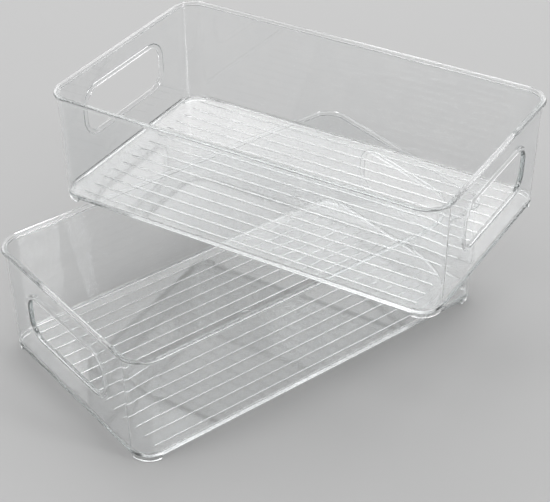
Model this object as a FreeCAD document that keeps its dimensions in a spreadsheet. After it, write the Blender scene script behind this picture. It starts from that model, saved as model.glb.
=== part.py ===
import FreeCAD, Part
import math
import os
import Sketcher

# Two identical storage bins, each moulded in one piece.  The lower one stands on its four
# corner feet.  The upper one lies turned across the lower one's rim, on the flat underside
# of its floor, with all four of its feet hanging clear outside that rim.
#
# Row frame, in millimetres: +Z up, +X along the lower bin, origin on the ground under the
# middle of the pair's outline.  Each bin is drawn in a frame of its own: X along its length,
# Y across it, and the origin on the ground under the middle of its floor.

SIZES = {
    # the whole bin, measured over its rim, and the lean of its walls in degrees
    "rim_length": 320.0,
    "rim_width": 187.6,
    "rim_corner_radius": 19.5,
    "bin_height": 89.8,
    "draft_angle": 1.0,
    "wall_thickness": 2.0,
    "floor_thickness": 2.0,
    "bottom_round": 1.0,
    "floor_round": 3.0,
    # the thick band round the mouth
    "rim_band_height": 3.2,
    "rim_overhang": 2.0,
    "rim_round": 1.3,
    "mouth_round": 0.8,
    # the feet under the corners
    "foot_height": 3.2,
    "foot_width": 3.0,
    "foot_inset": 0.7,
    "foot_round": 0.5,
    # the handle opening in each end wall, and the raised lip around it
    "handle_length": 96.0,
    "handle_height": 35.0,
    "handle_corner_radius": 13.0,
    "handle_centre_height": 51.4,
    "lip_width": 3.8,
    "lip_proud": 1.6,
    "lip_round": 1.4,
    # the fine ribs along the floor
    "rib_count": 14,
    "rib_pitch": 12.1,
    "rib_width": 1.0,
    "rib_height": 0.35,
    "rib_end_gap": 14.5,
    # the round mark under the middle of the floor, where the mould was filled
    "gate_radius": 4.5,
    "gate_depth": 0.6,
    "gate_nub_radius": 1.5,
    "gate_nub_height": 0.4,
    # how far a cutting or joining feature runs past the face that it starts from
    "overrun": 1.0,
    # the air between the lower bin's rim and the floor of the upper bin that lies on it
    "seat_gap": 0.1,
    # where the two bins stand, and how far the upper one is turned, in degrees
    "lower_bin_x": -16.4,
    "lower_bin_y": -4.9,
    "upper_bin_x": 36.9,
    "upper_bin_y": 0.0,
    "upper_bin_turn": 68.9,
}

TOUCHING = 0.01

# Levels and outlines that several features share, as expressions of the sheet's values.
UNDERSIDE = "sizes.foot_height"
FLOOR_TOP = "(sizes.foot_height + sizes.floor_thickness)"
RIM_TOP = "sizes.bin_height"
RIM_BOTTOM = "(sizes.bin_height - sizes.rim_band_height)"
BASE_INSET = f"(sizes.rim_overhang + ({RIM_TOP} - {UNDERSIDE}) * tan(sizes.draft_angle))"
BASE_LENGTH = f"(sizes.rim_length - 2 * {BASE_INSET})"
BASE_WIDTH = f"(sizes.rim_width - 2 * {BASE_INSET})"
BASE_CORNER_RADIUS = f"(sizes.rim_corner_radius - {BASE_INSET})"
FLOOR_INSET = f"({BASE_INSET} + sizes.wall_thickness - sizes.floor_thickness * tan(sizes.draft_angle))"
FLOOR_LENGTH = f"(sizes.rim_length - 2 * {FLOOR_INSET})"
FLOOR_WIDTH = f"(sizes.rim_width - 2 * {FLOOR_INSET})"
FLOOR_CORNER_RADIUS = f"(sizes.rim_corner_radius - {FLOOR_INSET})"
HANDLE_CLIMB = "(sizes.handle_centre_height - sizes.foot_height)"
END_WALL_X = f"({BASE_LENGTH} / 2 + {HANDLE_CLIMB} * tan(sizes.draft_angle))"

document = FreeCAD.newDocument("stacked_bins")
sizes = document.addObject("Spreadsheet::Sheet", "sizes")
for row, (alias, number) in enumerate(SIZES.items(), start=1):
    sizes.set(f"A{row}", alias)
    sizes.set(f"B{row}", str(number))
    sizes.setAlias(f"B{row}", alias)
document.recompute()

RIM_OUTLINE = (sizes.rim_length, sizes.rim_width, sizes.rim_corner_radius)


def origin_feature(body, role):
    for feature in body.Origin.OriginFeatures:
        if feature.Role == role:
            return feature
    raise ValueError(role)


def sketch_on(body, name, role, **offsets):
    """A sketch on one of the body's own origin planes, moved off it by expressions."""
    sketch = body.newObject("Sketcher::SketchObject", name)
    sketch.AttachmentSupport = (origin_feature(body, role), "")
    sketch.MapMode = "FlatFace"
    for axis, expression in offsets.items():
        sketch.setExpression(f".AttachmentOffset.Base.{axis}", expression)
    return sketch


def sketch_on_end_wall(body, name, stand_off):
    """A sketch that leans with the end wall and is centred on the handle opening."""
    sketch = sketch_on(
        body, name, "YZ_Plane", y="sizes.handle_centre_height", z=f"{END_WALL_X} + {stand_off}"
    )
    about_its_width = FreeCAD.Rotation(FreeCAD.Vector(1, 0, 0), sizes.draft_angle)
    sketch.AttachmentOffset = FreeCAD.Placement(FreeCAD.Vector(), about_its_width)
    sketch.setExpression(".AttachmentOffset.Rotation.Angle", "sizes.draft_angle")
    return sketch


def bind(sketch, name, constraint, expression):
    """Add a driving dimension, name it and tie it to the sheet's values."""
    index = sketch.addConstraint(constraint)
    sketch.renameConstraint(index, name)
    sketch.setExpression(f"Constraints.{name}", expression)


def rounded_rectangle(sketch, name, start, length, width, radius):
    """Four lines and four corner arcs, centred on the sketch's origin.

    The drawing begins with start's length, width and radius; the three expressions then
    drive it.
    """
    half_length = start[0] / 2
    half_width = start[1] / 2
    corner = start[2]
    straight_x = half_length - corner
    straight_y = half_width - corner
    vector = FreeCAD.Vector
    sides = [
        (vector(-straight_x, -half_width), vector(straight_x, -half_width)),
        (vector(half_length, -straight_y), vector(half_length, straight_y)),
        (vector(straight_x, half_width), vector(-straight_x, half_width)),
        (vector(-half_length, straight_y), vector(-half_length, -straight_y)),
    ]
    corners = [(1, -1), (1, 1), (-1, 1), (-1, -1)]
    first = sketch.GeometryCount
    for begin, end in sides:
        sketch.addGeometry(Part.LineSegment(begin, end), False)
    for index, (side_x, side_y) in enumerate(corners):
        centre = vector(side_x * straight_x, side_y * straight_y)
        middle = centre + vector(side_x, side_y).normalize() * corner
        begin = sides[index][1]
        end = sides[(index + 1) % 4][0]
        sketch.addGeometry(Part.Arc(begin, middle, end), False)
    for index in range(4):
        side = first + index
        arc = first + 4 + index
        next_side = first + (index + 1) % 4
        sketch.addConstraint(Sketcher.Constraint("Tangent", side, 2, arc, 1))
        sketch.addConstraint(Sketcher.Constraint("Tangent", arc, 2, next_side, 1))
        sketch.addConstraint(Sketcher.Constraint("Vertical" if index % 2 else "Horizontal", side))
    for index in range(1, 4):
        sketch.addConstraint(Sketcher.Constraint("Equal", first + 4, first + 4 + index))
    sketch.addConstraint(Sketcher.Constraint("Symmetric", first + 4, 3, first + 6, 3, -1, 1))
    across_x = Sketcher.Constraint("DistanceX", first + 3, 1, first + 1, 1, start[0])
    across_y = Sketcher.Constraint("DistanceY", first, 1, first + 2, 1, start[1])
    bind(sketch, f"{name}_length", across_x, length)
    bind(sketch, f"{name}_width", across_y, width)
    bind(sketch, f"{name}_radius", Sketcher.Constraint("Radius", first + 4, corner), radius)


def circle(sketch, name, start_radius, radius):
    """A circle about the sketch's origin."""
    centre = FreeCAD.Vector(0, 0, 0)
    index = sketch.addGeometry(Part.Circle(centre, FreeCAD.Vector(0, 0, 1), start_radius), False)
    sketch.addConstraint(Sketcher.Constraint("Coincident", index, 3, -1, 1))
    bind(sketch, f"{name}_radius", Sketcher.Constraint("Radius", index, start_radius), radius)


def volume_of(body):
    return 0.0 if body.Shape.isNull() else body.Shape.Volume


def pad(body, name, profile, length, reverse=False, flare=False):
    """A pad that has to add material.  A flared one widens by the draft angle."""
    before = volume_of(body)
    feature = body.newObject("PartDesign::Pad", name)
    feature.Profile = profile
    feature.setExpression("Length", length)
    feature.Reversed = reverse
    if flare:
        feature.setExpression("TaperAngle", "sizes.draft_angle")
    document.recompute()
    if volume_of(body) <= before:
        raise ValueError(f"{name} adds nothing")
    return feature


def pocket(body, name, profile, depth, reverse=False, flare=False):
    """A pocket that has to remove material.  A flared one widens by the draft angle."""
    before = volume_of(body)
    feature = body.newObject("PartDesign::Pocket", name)
    feature.Profile = profile
    feature.setExpression("Length", depth)
    feature.Reversed = reverse
    if flare:
        feature.setExpression("TaperAngle", "sizes.draft_angle")
    document.recompute()
    if volume_of(body) >= before:
        raise ValueError(f"{name} cuts nothing")
    return feature


def round_edges(body, name, radius, wanted):
    """A fillet on those edges of the body so far that the function wanted picks."""
    base = body.Tip
    numbered = enumerate(base.Shape.Edges, start=1)
    chosen = [f"Edge{number}" for number, edge in numbered if wanted(edge)]
    if not chosen:
        raise ValueError(f"{name} finds no edge")
    feature = body.newObject("PartDesign::Fillet", name)
    feature.Base = (base, chosen)
    feature.setExpression("Radius", radius)
    document.recompute()
    return feature


def is_level(edge, height):
    """Whether the whole edge lies at one height."""
    box = edge.BoundBox
    return abs(box.ZMin - height) < TOUCHING and abs(box.ZMax - height) < TOUCHING


def middle_of(edge):
    return edge.valueAt((edge.FirstParameter + edge.LastParameter) / 2)


def follows_rim(edge, inset):
    """Whether the edge's middle lies on the rim's outline moved inwards by inset."""
    point = middle_of(edge)
    corner = sizes.rim_corner_radius
    past_x = abs(point.x) - (sizes.rim_length / 2 - corner)
    past_y = abs(point.y) - (sizes.rim_width / 2 - corner)
    outward = math.hypot(max(past_x, 0), max(past_y, 0)) + min(max(past_x, past_y), 0)
    return abs(outward - corner + inset) < TOUCHING


def off_end_wall(point):
    """How far a point stands out from the outer face of the nearer end wall."""
    lean = math.tan(math.radians(sizes.draft_angle))
    wall_top_x = sizes.rim_length / 2 - sizes.rim_overhang
    wall_x = wall_top_x - (sizes.bin_height - point.z) * lean
    return (abs(point.x) - wall_x) * math.cos(math.radians(sizes.draft_angle))


def lies_off_end_wall(edge, distance):
    """Whether the edge runs around the handle, at one distance from the end wall's face."""
    points = [edge.valueAt(edge.FirstParameter), middle_of(edge), edge.valueAt(edge.LastParameter)]
    half_reach = sizes.handle_length / 2 + sizes.lip_width + TOUCHING
    top = sizes.handle_centre_height + sizes.handle_height / 2 + sizes.lip_width + TOUCHING
    near_handle = all(abs(point.y) < half_reach and point.z < top for point in points)
    return near_handle and all(abs(off_end_wall(point) - distance) < TOUCHING for point in points)


def make_tub(body):
    """The tapered outside of the bin, solid for now, with its bottom edge rounded."""
    sketch = sketch_on(body, "base_outline", "XY_Plane", z=UNDERSIDE)
    rounded_rectangle(sketch, "base", RIM_OUTLINE, BASE_LENGTH, BASE_WIDTH, BASE_CORNER_RADIUS)
    pad(body, "tub", sketch, f"{RIM_TOP} - {UNDERSIDE}", flare=True)
    round_edges(
        body, "bottom_edge_round", "sizes.bottom_round", lambda edge: is_level(edge, sizes.foot_height)
    )


def make_rim_band(body):
    """The thick band that hangs out over the wall all round the mouth."""
    sketch = sketch_on(body, "rim_outline", "XY_Plane", z=RIM_BOTTOM)
    rounded_rectangle(
        sketch, "rim", RIM_OUTLINE, "sizes.rim_length", "sizes.rim_width", "sizes.rim_corner_radius"
    )
    pad(body, "rim_band", sketch, "sizes.rim_band_height")


def make_handle_lip(body):
    """The raised frame around the handle opening, on one end wall."""
    sketch = sketch_on_end_wall(body, "lip_outline", "-sizes.wall_thickness / 2")
    rounded_rectangle(
        sketch,
        "lip",
        (sizes.handle_length, sizes.handle_height, sizes.handle_corner_radius),
        "sizes.handle_length + 2 * sizes.lip_width",
        "sizes.handle_height + 2 * sizes.lip_width",
        "sizes.handle_corner_radius + sizes.lip_width",
    )
    return pad(body, "handle_lip", sketch, "sizes.wall_thickness / 2 + sizes.lip_proud")


def make_cavity(body):
    """The hollow that holds things, one wall thickness inside the tub."""
    sketch = sketch_on(body, "floor_outline", "XY_Plane", z=FLOOR_TOP)
    rounded_rectangle(sketch, "floor", RIM_OUTLINE, FLOOR_LENGTH, FLOOR_WIDTH, FLOOR_CORNER_RADIUS)
    pocket(body, "cavity", sketch, f"{RIM_TOP} - {FLOOR_TOP}", reverse=True, flare=True)
    floor_height = sizes.foot_height + sizes.floor_thickness
    round_edges(body, "floor_edge_round", "sizes.floor_round", lambda edge: is_level(edge, floor_height))


def make_handle_opening(body):
    """The finger opening through the end wall and its lip."""
    sketch = sketch_on_end_wall(body, "handle_outline", "sizes.lip_proud + sizes.overrun")
    rounded_rectangle(
        sketch,
        "handle",
        (sizes.handle_length, sizes.handle_height, sizes.handle_corner_radius),
        "sizes.handle_length",
        "sizes.handle_height",
        "sizes.handle_corner_radius",
    )
    depth = "sizes.wall_thickness + sizes.lip_proud + 2 * sizes.overrun"
    return pocket(body, "handle_opening", sketch, depth)


def repeat_at_other_end(body, features):
    """The same handle on the opposite end wall."""
    mirror = body.newObject("PartDesign::Mirrored", "other_end")
    mirror.Originals = features
    mirror.MirrorPlane = (origin_feature(body, "YZ_Plane"), [""])
    body.Tip = mirror
    document.recompute()


def round_rim_and_handles(body):
    """Soft edges wherever a hand or a shelf touches the bin."""
    rim_bottom = sizes.bin_height - sizes.rim_band_height
    wall_inset = sizes.rim_overhang + sizes.wall_thickness
    round_edges(
        body,
        "rim_edge_round",
        "sizes.rim_round",
        lambda edge: (is_level(edge, sizes.bin_height) or is_level(edge, rim_bottom)) and follows_rim(edge, 0),
    )
    round_edges(
        body,
        "mouth_edge_round",
        "sizes.mouth_round",
        lambda edge: is_level(edge, sizes.bin_height) and follows_rim(edge, wall_inset),
    )
    round_edges(
        body,
        "lip_edge_round",
        "sizes.lip_round",
        lambda edge: lies_off_end_wall(edge, sizes.lip_proud)
        or lies_off_end_wall(edge, -sizes.wall_thickness),
    )


def make_floor_ribs(body):
    """Fine round-topped ribs that run along the floor, evenly across it."""
    first_rib_y = "-(sizes.rib_count - 1) / 2 * sizes.rib_pitch"
    sketch = sketch_on(body, "rib_section", "YZ_Plane", x=first_rib_y, y=FLOOR_TOP)
    vector = FreeCAD.Vector
    side = sizes.rib_width / 2
    root = -sizes.floor_thickness / 2
    top_radius = sizes.rib_height / 2 + sizes.rib_width**2 / sizes.rib_height / 8
    sketch.addGeometry(Part.Arc(vector(side, 0), vector(0, sizes.rib_height), vector(-side, 0)), False)
    sketch.addGeometry(Part.LineSegment(vector(-side, 0), vector(-side, root)), False)
    sketch.addGeometry(Part.LineSegment(vector(-side, root), vector(side, root)), False)
    sketch.addGeometry(Part.LineSegment(vector(side, root), vector(side, 0)), False)
    for edge in range(4):
        sketch.addConstraint(Sketcher.Constraint("Coincident", edge, 2, (edge + 1) % 4, 1))
    sketch.addConstraint(Sketcher.Constraint("Vertical", 1))
    sketch.addConstraint(Sketcher.Constraint("Horizontal", 2))
    sketch.addConstraint(Sketcher.Constraint("Symmetric", 0, 1, 0, 2, -1, 1))
    bind(sketch, "rib_width", Sketcher.Constraint("DistanceX", 2, 1, 2, 2, 2 * side), "sizes.rib_width")
    bind(sketch, "rib_root", Sketcher.Constraint("DistanceY", 3, 1, 3, 2, -root), "sizes.floor_thickness / 2")
    bind(
        sketch,
        "rib_top_radius",
        Sketcher.Constraint("Radius", 0, top_radius),
        "sizes.rib_height / 2 + sizes.rib_width ^ 2 / sizes.rib_height / 8",
    )
    rib = body.newObject("PartDesign::Pad", "rib")
    rib.Profile = sketch
    rib.Midplane = True
    rib.setExpression("Length", f"{FLOOR_LENGTH} - 2 * sizes.rib_end_gap")
    document.recompute()
    ribs = body.newObject("PartDesign::LinearPattern", "ribs")
    ribs.Originals = [rib]
    ribs.Direction = (origin_feature(body, "Y_Axis"), [""])
    ribs.setExpression("Length", "(sizes.rib_count - 1) * sizes.rib_pitch")
    ribs.setExpression("Occurrences", "sizes.rib_count")
    body.Tip = ribs
    document.recompute()


def quarter_ring(sketch, side_x, side_y):
    """The footprint of one foot: a quarter of a ring about the centre of a base corner."""
    vector = FreeCAD.Vector
    base_corner = sizes.rim_corner_radius - sizes.rim_overhang
    outer = base_corner - sizes.foot_inset
    inner = outer - sizes.foot_width
    centre = vector(side_x * (sizes.rim_length / 2 - base_corner), side_y * (sizes.rim_width / 2 - base_corner))
    along_x = vector(side_x, 0)
    along_y = vector(0, side_y)
    diagonal = vector(side_x, side_y).normalize()
    first = sketch.GeometryCount
    for radius in (outer, inner):
        begin = centre + along_x * radius
        end = centre + along_y * radius
        if side_x * side_y < 0:
            begin, end = end, begin
        sketch.addGeometry(Part.Arc(begin, centre + diagonal * radius, end), False)
    for corner in (1, 2):
        begin = sketch.getPoint(first, corner)
        end = sketch.getPoint(first + 1, corner)
        cap = sketch.addGeometry(Part.LineSegment(begin, end), False)
        sketch.addConstraint(Sketcher.Constraint("Coincident", first, corner, cap, 1))
        sketch.addConstraint(Sketcher.Constraint("Coincident", first + 1, corner, cap, 2))
        level = abs(begin.y - end.y) < TOUCHING
        kind = "Horizontal" if level else "Vertical"
        sketch.addConstraint(Sketcher.Constraint(kind, cap))
        sketch.addConstraint(Sketcher.Constraint(kind, first, 3, first, corner))
    sketch.addConstraint(Sketcher.Constraint("Coincident", first, 3, first + 1, 3))
    name = f"foot_{'right' if side_x > 0 else 'left'}_{'back' if side_y > 0 else 'front'}"
    origin = (-1, 1)
    middle = (first, 3)
    out_x = (*origin, *middle) if side_x > 0 else (*middle, *origin)
    out_y = (*origin, *middle) if side_y > 0 else (*middle, *origin)
    reach_x = Sketcher.Constraint("DistanceX", *out_x, abs(centre.x))
    reach_y = Sketcher.Constraint("DistanceY", *out_y, abs(centre.y))
    bind(sketch, f"{name}_x", reach_x, f"{BASE_LENGTH} / 2 - {BASE_CORNER_RADIUS}")
    bind(sketch, f"{name}_y", reach_y, f"{BASE_WIDTH} / 2 - {BASE_CORNER_RADIUS}")
    outer_radius = f"{BASE_CORNER_RADIUS} - sizes.foot_inset"
    bind(sketch, f"{name}_outer", Sketcher.Constraint("Radius", first, outer), outer_radius)
    inner_radius = f"{outer_radius} - sizes.foot_width"
    bind(sketch, f"{name}_inner", Sketcher.Constraint("Radius", first + 1, inner), inner_radius)


def make_feet(body):
    """A curved foot under each corner, rooted in the floor."""
    sketch = sketch_on(body, "foot_outlines", "XY_Plane")
    for side_x in (-1, 1):
        for side_y in (-1, 1):
            quarter_ring(sketch, side_x, side_y)
    pad(body, "feet", sketch, f"{UNDERSIDE} + sizes.floor_thickness / 2")
    round_edges(body, "foot_edge_round", "sizes.foot_round", lambda edge: is_level(edge, 0))


def make_gate_mark(body):
    """A shallow round recess under the floor, with a small nub in its middle."""
    recess = sketch_on(body, "gate_outline", "XY_Plane", z=UNDERSIDE)
    circle(recess, "gate", sizes.gate_radius, "sizes.gate_radius")
    pocket(body, "gate_recess", recess, "sizes.gate_depth", reverse=True)
    nub = sketch_on(body, "nub_outline", "XY_Plane", z=f"{UNDERSIDE} + sizes.gate_depth")
    circle(nub, "nub", sizes.gate_nub_radius, "sizes.gate_nub_radius")
    pad(body, "gate_nub", nub, "sizes.gate_nub_height", reverse=True)


def make_bin(name):
    """One whole bin, as a body at the origin of its own frame."""
    body = document.addObject("PartDesign::Body", name)
    body.Label = name
    make_tub(body)
    make_rim_band(body)
    lip = make_handle_lip(body)
    make_cavity(body)
    opening = make_handle_opening(body)
    repeat_at_other_end(body, [lip, opening])
    round_rim_and_handles(body)
    make_feet(body)
    make_gate_mark(body)
    make_floor_ribs(body)
    return body


def stand_lower_bin(body):
    body.setExpression(".Placement.Base.x", "sizes.lower_bin_x")
    body.setExpression(".Placement.Base.y", "sizes.lower_bin_y")


def lay_upper_bin(body):
    """Put the upper bin's floor on the lower bin's rim, turned clockwise from above."""
    clockwise = FreeCAD.Rotation(FreeCAD.Vector(0, 0, -1), sizes.upper_bin_turn)
    body.Placement = FreeCAD.Placement(FreeCAD.Vector(), clockwise)
    body.setExpression(".Placement.Base.x", "sizes.upper_bin_x")
    body.setExpression(".Placement.Base.y", "sizes.upper_bin_y")
    body.setExpression(".Placement.Base.z", f"{RIM_TOP} - {UNDERSIDE} + sizes.seat_gap")
    body.setExpression(".Placement.Rotation.Angle", "sizes.upper_bin_turn")


def check_document(bodies):
    failed = [item.Name for item in document.Objects if {"Invalid", "Error"} & set(item.State)]
    if failed:
        raise ValueError(f"these objects failed: {failed}")
    for body in bodies:
        shape = body.Shape
        if shape.isNull() or not shape.isValid() or len(shape.Solids) != 1:
            raise ValueError(f"{body.Label} isn't one valid solid")


lower_bin = make_bin("lower_bin")
stand_lower_bin(lower_bin)
upper_bin = make_bin("upper_bin")
lay_upper_bin(upper_bin)
document.recompute()
check_document([lower_bin, upper_bin])

os.makedirs("parts", exist_ok=True)
for body in (lower_bin, upper_bin):
    body.Shape.exportStep(f"parts/{body.Label}.step")
    print(f"{body.Label}: {body.Shape.Volume:.0f} cubic millimetres")
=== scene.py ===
# %% [markdown]
# # A stack of two clear fridge bins
#
# The object is a pair of equal storage bins for a fridge shelf. Each is one thin
# injection moulding in clear, colourless plastic: a long tub with a rolled rim, a hand
# opening with a rounded lip in each end, fine ribs on its floor and four small feet. The
# upper bin lies across the lower one, turned on it.
#
# Clear things are made by what stands round them. The shapes come from the CAD frame, so
# this lesson is about the rest: a plastic that bends light as the real one does, a plain
# pale studio for it to gather light from, and a camera to look through.

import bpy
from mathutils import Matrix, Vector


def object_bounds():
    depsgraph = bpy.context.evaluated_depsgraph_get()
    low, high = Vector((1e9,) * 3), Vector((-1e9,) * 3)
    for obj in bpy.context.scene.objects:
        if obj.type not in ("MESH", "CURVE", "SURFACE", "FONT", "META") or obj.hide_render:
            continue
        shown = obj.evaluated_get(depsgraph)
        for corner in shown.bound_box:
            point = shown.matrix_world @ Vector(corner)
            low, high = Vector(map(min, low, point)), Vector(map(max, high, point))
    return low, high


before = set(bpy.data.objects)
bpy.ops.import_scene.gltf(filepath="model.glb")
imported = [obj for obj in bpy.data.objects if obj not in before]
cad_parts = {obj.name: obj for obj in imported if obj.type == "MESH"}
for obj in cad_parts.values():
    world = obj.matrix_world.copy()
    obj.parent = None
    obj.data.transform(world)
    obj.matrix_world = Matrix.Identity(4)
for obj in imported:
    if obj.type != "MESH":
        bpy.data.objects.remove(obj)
cad_box = [list(corner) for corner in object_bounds()]
print("CAD box, lowest and highest corners:", cad_box)

# %% Bring in what the lesson uses
import math

import bpy
from mathutils import Vector

print("Blender", bpy.app.version_string)

# %% [markdown]
# ## Shader maths written as sums
#
# A material is a tree of nodes, and a finish is easier to read as a sum than as a list of
# nodes and links. One small class holds a socket. Plus, minus and times on it add a Math
# node and give back the new socket, so a mask can be written as 1 - fade. Every other
# node comes from one method, which sets a node's settings first and its sockets after,
# because some settings change which sockets a node has.

# %% A socket that can be used in sums
class Wire:
    """A node's output, which plus, minus and times work on."""

    def __init__(self, tree, socket=None):
        self.tree = tree
        self.socket = socket

    def make(self, kind, settings, values, out=0):
        """Add a node of this kind to the tree, and give back one of its outputs."""
        node = self.tree.nodes.new(kind)
        for name, setting in settings.items():
            setattr(node, name, setting)
        for name, value in values.items():
            if isinstance(value, Wire):
                self.tree.links.new(value.socket, node.inputs[name])
            else:
                node.inputs[name].default_value = value
        return Wire(self.tree, node.outputs[out] if node.outputs else None)

    def maths(self, operation, first, second):
        """Join two values, wires or numbers, with a Math node."""
        return self.make("ShaderNodeMath", {"operation": operation}, {0: first, 1: second})

    def __add__(self, other):
        return self.maths("ADD", self, other)

    def __radd__(self, other):
        return self.maths("ADD", other, self)

    def __sub__(self, other):
        return self.maths("SUBTRACT", self, other)

    def __rsub__(self, other):
        return self.maths("SUBTRACT", other, self)

    def __mul__(self, other):
        return self.maths("MULTIPLY", self, other)

    def __rmul__(self, other):
        return self.maths("MULTIPLY", other, self)

    def rise(self, low, high):
        """0 below low and 1 above high, with a smooth rise between them."""
        return self.make(
            "ShaderNodeMapRange",
            {"interpolation_type": "SMOOTHSTEP"},
            {"Value": self, "From Min": low, "From Max": high},
        )


def new_tree(owner):
    """Empty the node tree of a material or a world, and give back a wire to fill it."""
    owner.use_nodes = True
    owner.node_tree.nodes.clear()
    return Wire(owner.node_tree)


print("A wire knows", [name for name in vars(Wire) if name.startswith("__r")])

# %% [markdown]
# ## The camera
#
# The bins are looked at from the front left and from above, through a lens long enough
# that their long edges stay nearly parallel. The camera could be aimed with a Track To
# constraint. Its place and turn are written as numbers here, because two objects that lie
# across each other line up only from one exact point.

# %% Place the camera
CAMERA_PLACE = (-0.55527, -0.74257, 0.70194)
CAMERA_TURN = (55.0155, 0.5511, -37.8772)
CAMERA_LENS = 97.73
SENSOR_WIDTH = 36.0

camera_data = bpy.data.cameras.new("camera")
camera_data.lens = CAMERA_LENS
camera_data.sensor_width = SENSOR_WIDTH
camera = bpy.data.objects.new("camera", camera_data)
camera.location = CAMERA_PLACE
camera.rotation_euler = [math.radians(turn) for turn in CAMERA_TURN]
bpy.context.scene.collection.objects.link(camera)
bpy.context.scene.camera = camera
distance = round(camera.location.length, 3)
print("lens", CAMERA_LENS, "mm,", distance, "m from the middle of the floor")

# %% [markdown]
# ## The sky
#
# Clear plastic has no colour of its own. Its walls show the floor, its rims show thin
# slices of everything round them, and both vanish in an evenly lit room. A picture of a
# real studio on the world would give rims plenty to show, and would show itself in them.
# A plain rise of grey does as well: pale near the horizon and dark overhead, with soft
# boxes hung in it later. A rim then carries a bright line beside a dark one, which is
# what draws it.
#
# Only rays that look at the sky, straight or by way of the plastic, meet that rise. The
# ones that gather light for the floor meet an even grey, so that the floor stays pale all
# the way to the back. A ray can be of two kinds at once, so their sum is held at 1.

# %% Sky
HORIZON_GREY = 0.92
ZENITH_GREY = 0.12
SKY_FADE = (0.10, 0.70)
SKY_LIGHT = 0.55

world = bpy.data.worlds.new("studio")
bpy.context.scene.world = world
sky = new_tree(world)
direction = sky.make("ShaderNodeTexCoord", {}, {}, out="Generated")
upward = sky.make("ShaderNodeSeparateXYZ", {}, {"Vector": direction}, out="Z")
seen_grey = HORIZON_GREY + (ZENITH_GREY - HORIZON_GREY) * upward.rise(*SKY_FADE)
looks = sky.make("ShaderNodeLightPath", {}, {}, out="Is Camera Ray")
for ray in ("Is Glossy Ray", "Is Transmission Ray"):
    looks = looks + sky.make("ShaderNodeLightPath", {}, {}, out=ray)
sky_grey = SKY_LIGHT + (seen_grey - SKY_LIGHT) * looks.rise(0.0, 1.0)
sky.make("ShaderNodeOutputWorld", {}, {
    "Surface": sky.make("ShaderNodeBackground", {}, {"Color": sky_grey, "Strength": 1.0}),
})
print("sky seen from", HORIZON_GREY, "down to", ZENITH_GREY, "and lighting at", SKY_LIGHT)

# %% [markdown]
# ## The floor
#
# The floor is one matt sheet of card, wide enough that its edge is out of sight from every
# side. It is a little darker than white paper, so that the highlights on the plastic still
# stand out from it. It lies a fraction of a millimetre under the feet, because two
# surfaces at one height fight over which is in front.

# %% Floor
FLOOR_SIZE = 12.0
FLOOR_DROP = 0.0002
FLOOR_GREY = 0.53
CARD_ROUGHNESS = 0.9
CARD_GLOSS = 0.1

half = FLOOR_SIZE / 2
floor_mesh = bpy.data.meshes.new("floor")
floor_mesh.from_pydata(
    [(-half, -half, 0), (half, -half, 0), (half, half, 0), (-half, half, 0)],
    [], [(0, 1, 2, 3)],
)
floor = bpy.data.objects.new("floor", floor_mesh)
floor.location.z = cad_box[0][2] - FLOOR_DROP
bpy.context.scene.collection.objects.link(floor)

matt_card = bpy.data.materials.new("matt_card")
card = new_tree(matt_card)
card.make("ShaderNodeOutputMaterial", {}, {
    "Surface": card.make("ShaderNodeBsdfPrincipled", {}, {
        "Base Color": (FLOOR_GREY, FLOOR_GREY, FLOOR_GREY, 1.0),
        "Roughness": CARD_ROUGHNESS,
        "Specular IOR Level": CARD_GLOSS,
    }),
})
floor_mesh.materials.append(matt_card)
print("floor", FLOOR_SIZE, "m square at", round(floor.location.z, 4))

# %% [markdown]
# ## Soft boxes
#
# Four area lamps light the bins. The key hangs high on the left and gives the soft shadow,
# and a wide box overhead fills it. The box behind the bins is low enough to be mirrored in
# their floors, as a window is in a table top, and that is what tells a clear floor from no
# floor at all. The tall narrow one in front draws the rounded corners. An area lamp's
# brightness as seen is its power over pi times its area, so each lamp is written with that
# brightness, in which 1 is white.

# %% Hang the lamps
LAMPS = {
    "key_box": {"place": (-1.3, 0.1, 1.5), "size": (0.6, 0.6), "seen": 5.0},
    "top_box": {"place": (0.0, -0.1, 1.9), "size": (1.4, 1.0), "seen": 1.2},
    "back_box": {"place": (0.98, 1.27, 1.15), "size": (3.2, 1.1), "seen": 1.8},
    "front_box": {"place": (0.6, -1.5, 1.3), "size": (0.3, 1.2), "seen": 6.0},
}
AIM = Vector((0.0, 0.0, 0.08))

for name, lamp in LAMPS.items():
    light = bpy.data.lights.new(name, "AREA")
    light.shape = "RECTANGLE"
    light.size, light.size_y = lamp["size"]
    light.energy = lamp["seen"] * math.pi * light.size * light.size_y
    holder = bpy.data.objects.new(name, light)
    holder.location = lamp["place"]
    holder.rotation_euler = (holder.location - AIM).to_track_quat("Z", "Y").to_euler()
    bpy.context.scene.collection.objects.link(holder)
    print(name, round(light.energy, 2), "W")

# %% [markdown]
# ## The skin of a moulding
#
# Such bins are moulded in PET. Nothing moulded is optically flat, and a perfectly flat
# material is what gives a drawn bin away. Five things show on a new one, all faint, and
# each gets a helper of its own that works in the bin's own coordinates, so that both bins
# carry the same marks in the same places, as two pieces from one mould do.
#
# First come the slow ripple that the shrinking plastic leaves in the walls, about a
# hundredth of a millimetre deep, and the flow rings round the gate, where the plastic
# came in. Both could be modelled. As bump they cost no faces, and they are far too
# shallow to be seen from the side.

# %% Ripple in the walls
RIPPLES_PER_METRE = 24.0
NOISE_MIDDLE = 0.5


def wall_ripple(own):
    """Slow swells of the surface, above and below where it should be."""
    swell = own.make("ShaderNodeTexNoise", {}, {
        "Vector": own, "Scale": RIPPLES_PER_METRE, "Detail": 1.0, "Roughness": 0.4,
    })
    return swell - NOISE_MIDDLE


print("ripples about", round(1000 / RIPPLES_PER_METRE), "mm long")

# %% Flow rings round the gate
RING_SPACING = 0.0035
RING_FADE = (0.005, 0.045)
RING_HEIGHT = 0.2


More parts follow.
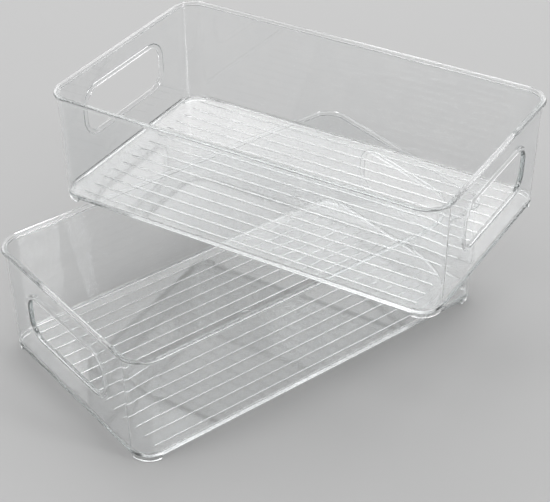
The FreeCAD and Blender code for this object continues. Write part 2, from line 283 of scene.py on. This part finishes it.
def flow_rings(own):
    """Rings round the middle of the floor, which fade as they widen."""
    away = own.make("ShaderNodeVectorMath", {"operation": "LENGTH"}, {0: own}, out="Value")
    turns = away * (2 * math.pi / RING_SPACING)
    waves = own.make("ShaderNodeMath", {"operation": "SINE"}, {0: turns})
    return RING_HEIGHT * waves * (1 - away.rise(*RING_FADE))


print("flow rings:", round(RING_FADE[1] / RING_SPACING), "that show")

# %% [markdown]
# The other three lie in how glossy the surface is. A mould is polished along its walls,
# and its fine marks come out on the plastic as level streaks. A picture of streaks would
# need unwrapping. Noise gives them without it, when its coordinates are multiplied by far
# more in height than sideways, which squeezes it flat.

# %% Polishing marks
POLISH_STRETCH = (20.0, 20.0, 900.0)
POLISH_SHOWS = (0.4, 0.7)


def polishing_marks(own):
    """Fine level streaks, from 0 between them to 1 on them."""
    drawn_out = own.make("ShaderNodeVectorMath", {"operation": "MULTIPLY"}, {
        0: own, 1: POLISH_STRETCH,
    })
    return own.make("ShaderNodeTexNoise", {}, {
        "Vector": drawn_out, "Scale": 1.0, "Detail": 2.0,
    }).rise(*POLISH_SHOWS)


print("polishing marks about", round(1000 / POLISH_STRETCH[2], 1), "mm apart")

# %% [markdown]
# Hands and packing leave softer cloudy patches on top of that, and the edge where the two
# mould halves met, along the rim, stays slightly satin. Patches could be painted. They
# are noise again, with more detail and no stretch, and the edge is read from the height.

# %% Cloudy patches and the rim's edge
CLOUDS_PER_METRE = 60.0
RIM_EDGE = (0.0860, 0.0892)


def cloudy_patches(own):
    """Soft clouds, as plain noise that each user cuts off where it needs."""
    return own.make("ShaderNodeTexNoise", {}, {
        "Vector": own, "Scale": CLOUDS_PER_METRE, "Detail": 4.0, "Roughness": 0.6,
    })


def satin_edge(own):
    """0 below the rim and 1 along its top edge."""
    height = own.make("ShaderNodeSeparateXYZ", {}, {"Vector": own}, out="Z")
    return height.rise(*RIM_EDGE)


print("clouds about", round(1000 / CLOUDS_PER_METRE), "mm across, satin from", RIM_EDGE[0])

# %% [markdown]
# ## The shadow of a clear thing
#
# Glass blocks the rays that look for a lamp, so in a path tracer it throws a shadow as
# black as iron, or else a slow and grainy one. Light Path tells those rays apart, and the
# ones that the floor gathers its light with, and a Transparent node lets both through. A
# wall that is crossed squarely takes little light. One that is met edge on takes much, and
# Layer Weight knows which is which. That gives the pale shadow with darker outlines that
# clear things have.

# %% What shadow rays meet
WALL_SHADOW = (0.95, 0.95, 0.95, 1.0)
EDGE_SHADOW = (0.35, 0.36, 0.36, 1.0)
EDGE_BLEND = 0.35


def shadow_pass(pet):
    """The pale veil that the plastic is to rays that light other things."""
    edge_on = pet.make("ShaderNodeLayerWeight", {}, {"Blend": EDGE_BLEND}, out="Facing")
    return pet.make("ShaderNodeMixShader", {}, {
        0: edge_on,
        1: pet.make("ShaderNodeBsdfTransparent", {}, {"Color": WALL_SHADOW}),
        2: pet.make("ShaderNodeBsdfTransparent", {}, {"Color": EDGE_SHADOW}),
    })


print("light left after a wall:", WALL_SHADOW[0], "and after an edge:", EDGE_SHADOW[0])

# %% [markdown]
# ## Clear plastic
#
# PET bends light a little more than window glass does, and swallows a little of it on a
# long way through, so its edges look greyer than its walls. A tint on the surface alone
# would grey both alike. Volume Absorption knows how far the light went: the edges are
# greyer because the way along a wall is long.

# %% What PET does to the light inside it
PET_INDEX = 1.57
PET_TINT = (0.88, 0.90, 0.90, 1.0)
PET_DENSITY = 8.0


def greying(pet):
    """The inside of the plastic, which takes a little of the light."""
    return pet.make("ShaderNodeVolumeAbsorption", {}, {
        "Color": PET_TINT, "Density": PET_DENSITY,
    })


print("PET bends light by an index of", PET_INDEX)

# %% [markdown]
# The surface puts the five marks together. A Glass node would do for a first try. The
# Principled node is used because its bent light, its roughness and its tone all sit in one
# place. Its roughness is a sum of small parts, and each mark adds its own.

# %% The surface
SKIN_DEPTH = 0.00002
DEEP_TONE = (0.965, 0.972, 0.975, 1.0)
PALE_TONE = (0.985, 0.99, 0.99, 1.0)
TONE_PATCHES = (0.3, 0.7)
DULL_PATCHES = (0.45, 0.75)
BARE_ROUGHNESS = 0.008
CLOUD_ROUGHNESS = 0.03
POLISH_ROUGHNESS = 0.02
EDGE_ROUGHNESS = 0.05


def moulded_surface(own):
    """The skin of a bin, from the bin's own coordinates."""
    clouds = cloudy_patches(own)
    tone = own.make("ShaderNodeMix", {"data_type": "RGBA"}, {
        0: clouds.rise(*TONE_PATCHES), 6: DEEP_TONE, 7: PALE_TONE,
    }, out=2)
    skin = own.make("ShaderNodeBump", {}, {
        "Distance": SKIN_DEPTH, "Height": wall_ripple(own) + flow_rings(own),
    })
    cloud_loss = CLOUD_ROUGHNESS * clouds.rise(*DULL_PATCHES)
    gloss_loss = cloud_loss + POLISH_ROUGHNESS * polishing_marks(own)
    return own.make("ShaderNodeBsdfPrincipled", {}, {
        "Base Color": tone,
        "Roughness": BARE_ROUGHNESS + gloss_loss + EDGE_ROUGHNESS * satin_edge(own),
        "IOR": PET_INDEX,
        "Transmission Weight": 1.0,
        "Normal": skin,
    })


most = BARE_ROUGHNESS + CLOUD_ROUGHNESS + POLISH_ROUGHNESS + EDGE_ROUGHNESS
print("roughness from", BARE_ROUGHNESS, "to", round(most, 3))

# %% [markdown]
# ## Both bins
#
# A CAD mesh keeps its place in its vertices, so its Object coordinates are the frame's and
# not the bin's. One material for both bins would put other marks on each, and two pieces
# from one mould have the same. A Mapping node set to Texture undoes the bin's place and
# turn, so each bin gets a material of its own, measured from between its feet.

# %% The whole material
VEILED_RAYS = ("Is Diffuse Ray", "Is Shadow Ray")


def clear_plastic(name, place, degrees):
    """Clear PET for a bin that stands at place, in metres, and is turned by degrees."""
    finish = bpy.data.materials.new(name)
    pet = new_tree(finish)
    own = pet.make("ShaderNodeMapping", {"vector_type": "TEXTURE"}, {
        "Vector": pet.make("ShaderNodeTexCoord", {}, {}, out="Object"),
        "Location": place,
        "Rotation": (0.0, 0.0, math.radians(degrees)),
    })
    body = moulded_surface(own)
    veil = shadow_pass(pet)
    for ray in VEILED_RAYS:
        which = pet.make("ShaderNodeLightPath", {}, {}, out=ray)
        body = pet.make("ShaderNodeMixShader", {}, {0: which, 1: body, 2: veil})
    pet.make("ShaderNodeOutputMaterial", {}, {"Surface": body, "Volume": greying(pet)})
    return finish


print("the veil stands in for the surface on", len(VEILED_RAYS), "kinds of ray")

# %% Give each bin its plastic
BINS = {
    "lower_bin": {"place": (-0.0164, -0.0049, 0.0), "turn": 0.0},
    "upper_bin": {"place": (0.0369, 0.0, 0.0867), "turn": -68.9},
}

for node, stand in BINS.items():
    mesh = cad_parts[node].data
    mesh.materials.clear()
    mesh.materials.append(clear_plastic(node + "_plastic", stand["place"], stand["turn"]))
    print(node, len(mesh.polygons), "faces in", mesh.materials[0].name)

# %% [markdown]
# ## Light that goes through many walls
#
# A line of sight through the stack can cross eight walls, with two surfaces each, and
# light that enters a rim is mirrored inside it over and over before it comes out. Cycles
# stops following light after a few such turns and shows black there, so the limits for
# mirrored and for bent light both go up.

# %% Let light through
LIGHT_TURNS = 96
VEILS_CROSSED = 48

cycles = bpy.context.scene.cycles
cycles.max_bounces = LIGHT_TURNS
cycles.glossy_bounces = LIGHT_TURNS
cycles.transmission_bounces = LIGHT_TURNS
cycles.transparent_max_bounces = VEILS_CROSSED
bpy.context.scene.view_settings.view_transform = "Standard"
print("surfaces that light may cross:", cycles.transmission_bounces)

# %% [markdown]
# ## Closing
#
# Nothing was added to the bins but their finish, so the box round the dressed model is
# the CAD box.
